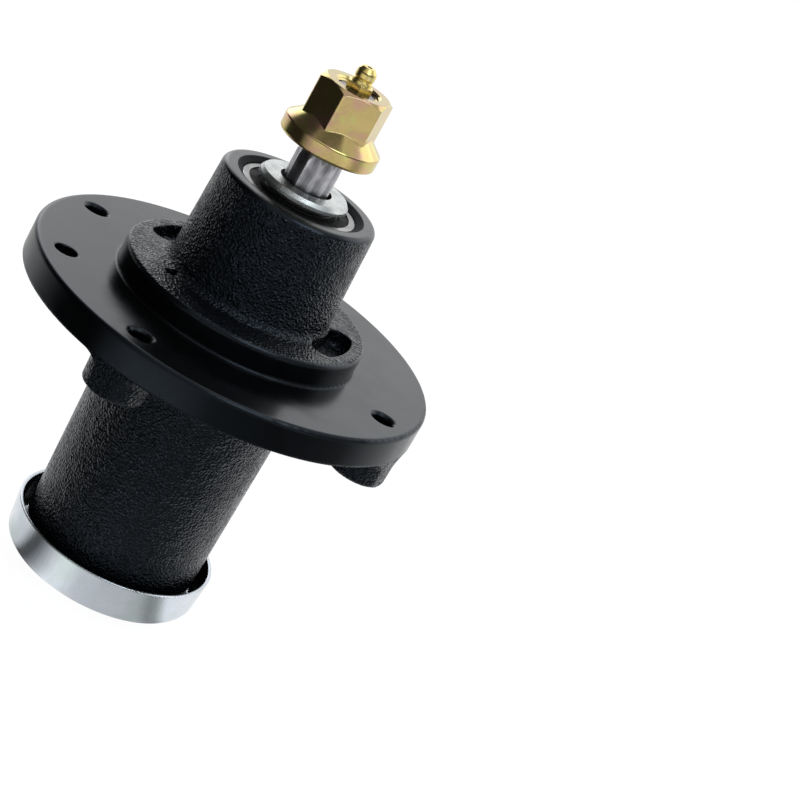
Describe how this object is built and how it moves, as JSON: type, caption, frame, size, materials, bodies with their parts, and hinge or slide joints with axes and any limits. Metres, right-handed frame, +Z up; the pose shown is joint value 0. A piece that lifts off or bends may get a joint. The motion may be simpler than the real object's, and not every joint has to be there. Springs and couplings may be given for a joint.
{
  "type": "mower deck spindle",
  "caption": "Mower deck spindle with a round bolt-on cast housing, a splined vertical shaft in sealed ball bearings, a flange nut, a grease fitting and a dust cup at the blade end.",
  "frame": {"origin": "centre of the blade seat face at the foot of the shaft, on which the spindle stands", "axes": "+Z up along the shaft towards the grease fitting; one deck bolt hole lies in the plane half way between +X and +Y"},
  "size_m": [0.1396, 0.1396, 0.198],
  "materials": {
    "black_casting": "black paint, rough as cast and smooth where turned",
    "bearing_steel": "ground",
    "ball_steel": "polished",
    "cage_plastic": "moulded",
    "seal_rubber": "moulded",
    "shaft_steel": "machined",
    "spacer_steel": "turned",
    "bright_zinc": "bright zinc plate",
    "cup_zinc": "blue zinc plate",
    "yellow_zinc": "yellow zinc plate",
    "fitting_brass": "yellow plated",
    "spring_steel": "drawn wire"
  },
  "bodies": {
    "housing": {"spindle_housing": "black_casting", "upper_bearing_outer_ring": "bearing_steel", "upper_bearing_seal": "seal_rubber", "lower_bearing_outer_ring": "bearing_steel", "lower_bearing_seal": "seal_rubber"},
    "rotor": {"spindle_shaft": "shaft_steel", "bearing_spacer": "spacer_steel", "lower_spacer": "spacer_steel", "upper_collar": "spacer_steel", "pulley_washer": "bright_zinc", "dust_cup": "cup_zinc", "flange_nut": "yellow_zinc", "grease_fitting_body": "fitting_brass", "grease_fitting_spring": "spring_steel", "upper_bearing_inner_ring": "bearing_steel", "lower_bearing_inner_ring": "bearing_steel"},
    "upper_cage": {"upper_bearing_cage": "cage_plastic", "upper_bearing_balls": "ball_steel"},
    "lower_cage": {"lower_bearing_cage": "cage_plastic", "lower_bearing_balls": "ball_steel"},
    "check_ball": {"grease_fitting_ball": "ball_steel"}
  },
  "joints": [
    {"name": "spindle_spin", "type": "hinge", "parent": "housing", "child": "rotor", "pos_m": [0, 0, 0.0821], "axis": [0, 0, 1], "continuous": true},
    {"name": "upper_cage_spin", "type": "hinge", "parent": "housing", "child": "upper_cage", "pos_m": [0, 0, 0.1448], "axis": [0, 0, 1], "continuous": true},
    {"name": "lower_cage_spin", "type": "hinge", "parent": "housing", "child": "lower_cage", "pos_m": [0, 0, 0.0194], "axis": [0, 0, 1], "continuous": true},
    {"name": "check_ball_slide", "type": "slide", "parent": "rotor", "child": "check_ball", "axis": [0, 0, -1], "range_m": [0, 0.0008], "stiffness_N_per_m": 100, "springref_m": -0.0005, "deforming": ["grease_fitting_spring"]}
  ],
  "couplings": [
    {"joint": "upper_cage_spin", "follows": "spindle_spin", "ratio": 0.3816},
    {"joint": "lower_cage_spin", "follows": "spindle_spin", "ratio": 0.3816}
  ]
}
